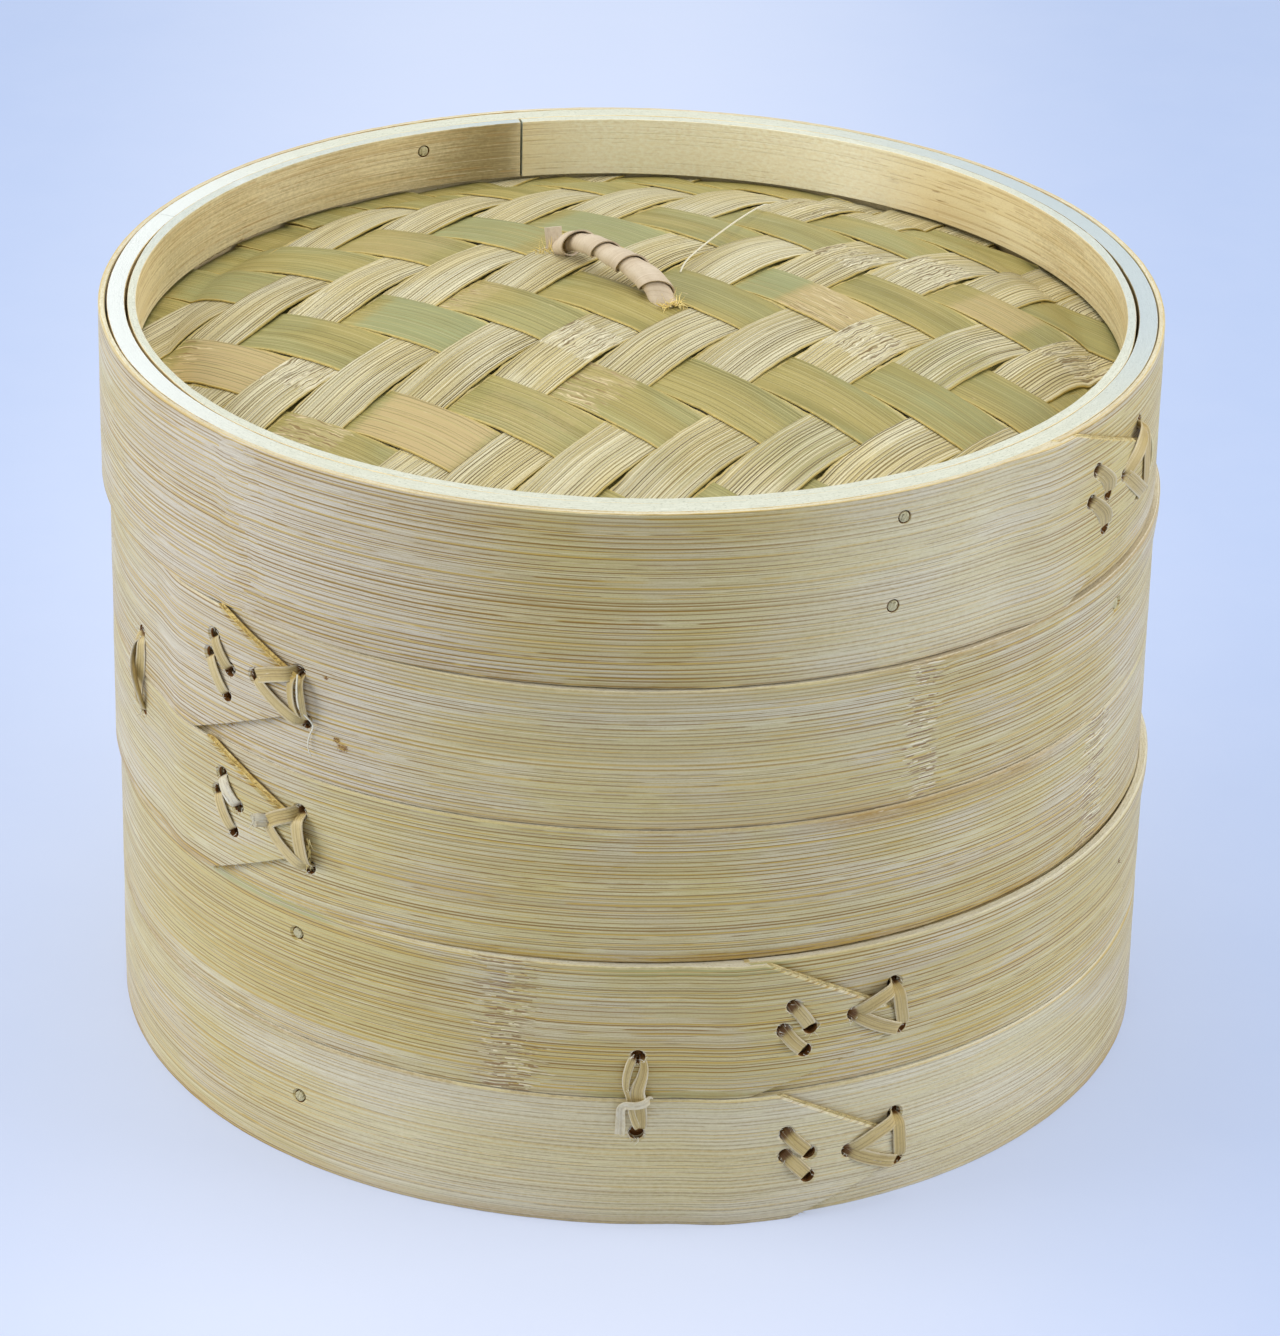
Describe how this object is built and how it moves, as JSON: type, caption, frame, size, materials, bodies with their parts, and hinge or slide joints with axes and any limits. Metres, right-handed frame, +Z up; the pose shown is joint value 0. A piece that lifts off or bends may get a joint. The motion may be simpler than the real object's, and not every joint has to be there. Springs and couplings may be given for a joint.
{
  "type": "bamboo steamer",
  "caption": "Round stacking bamboo steamer: slatted tiers with laced outer bands and a lid with a woven dome and a small rattan handle.",
  "frame": {"origin": "centre of the bounding box at the height of the surface that the lowest band stands on", "axes": "+Z up along the stack, -Y to the front, +X to the right seen from the front"},
  "size_m": [0.2094, 0.2092, 0.1568],
  "materials": {
    "outer_band": "straw-coloured split bamboo, satin, fine long grain",
    "hoop": "pale split bamboo, matte, whitish cut edges",
    "olive_strip": "green-olive bamboo skin, smooth satin",
    "pale_strip": "pale fibrous inner bamboo, matte",
    "lining": "thin bamboo backing sheet, matte",
    "floor_slat": "planed bamboo slats, matte",
    "handle_core": "rattan, matte",
    "handle_wrap": "flat pinkish-tan rattan strip, satin",
    "rattan_lacing": "flat tan rattan strip, satin",
    "peg": "bamboo dowel, end grain"
  },
  "bodies": {
    "lower_tier": {"lower_tier_back_tie": "rattan_lacing", "lower_tier_floor_grate": "floor_slat", "lower_tier_floor_ring": "hoop", "lower_tier_front_tie": "rattan_lacing", "lower_tier_lower_band": "outer_band", "lower_tier_lower_lacing": "rattan_lacing", "lower_tier_lower_peg": "peg", "lower_tier_upper_band": "outer_band", "lower_tier_upper_lacing": "rattan_lacing", "lower_tier_upper_peg": "peg", "lower_tier_wall_hoop": "hoop"},
    "upper_tier": {"upper_tier_back_tie": "rattan_lacing", "upper_tier_floor_grate": "floor_slat", "upper_tier_floor_ring": "hoop", "upper_tier_front_tie": "rattan_lacing", "upper_tier_lower_band": "outer_band", "upper_tier_lower_lacing": "rattan_lacing", "upper_tier_side_peg": "peg", "upper_tier_upper_band": "outer_band", "upper_tier_upper_lacing": "rattan_lacing", "upper_tier_wall_hoop": "hoop"},
    "lid": {"lid_handle_core": "handle_core", "lid_handle_wrap": "handle_wrap", "lid_inner_hoop_peg": "peg", "lid_lacing": "rattan_lacing", "lid_lining": "lining", "lid_lower_inner_hoop": "hoop", "lid_lower_peg": "peg", "lid_middle_hoop": "hoop", "lid_olive_strip_01": "olive_strip", "lid_olive_strip_02": "olive_strip", "lid_olive_strip_03": "olive_strip", "lid_olive_strip_04": "olive_strip", "lid_olive_strip_05": "olive_strip", "lid_olive_strip_06": "olive_strip", "lid_olive_strip_07": "olive_strip", "lid_olive_strip_08": "olive_strip", "lid_olive_strip_09": "olive_strip", "lid_olive_strip_10": "olive_strip", "lid_olive_strip_11": "olive_strip", "lid_olive_strip_12": "olive_strip", "lid_outer_band": "outer_band", "lid_pale_strip_01": "pale_strip", "lid_pale_strip_02": "pale_strip", "lid_pale_strip_03": "pale_strip", "lid_pale_strip_04": "pale_strip", "lid_pale_strip_05": "pale_strip", "lid_pale_strip_06": "pale_strip", "lid_pale_strip_07": "pale_strip", "lid_pale_strip_08": "pale_strip", "lid_pale_strip_09": "pale_strip", "lid_pale_strip_10": "pale_strip", "lid_pale_strip_11": "pale_strip", "lid_pale_strip_12": "pale_strip", "lid_pale_strip_13": "pale_strip", "lid_upper_inner_hoop": "hoop", "lid_upper_peg": "peg"}
  },
  "joints": [
    {"name": "upper_tier_lift", "type": "slide", "parent": "lower_tier", "child": "upper_tier", "axis": [0, 0, 1], "range_m": [0, 0.12]},
    {"name": "lid_lift", "type": "slide", "parent": "upper_tier", "child": "lid", "axis": [0, 0, 1], "range_m": [0, 0.12]}
  ]
}
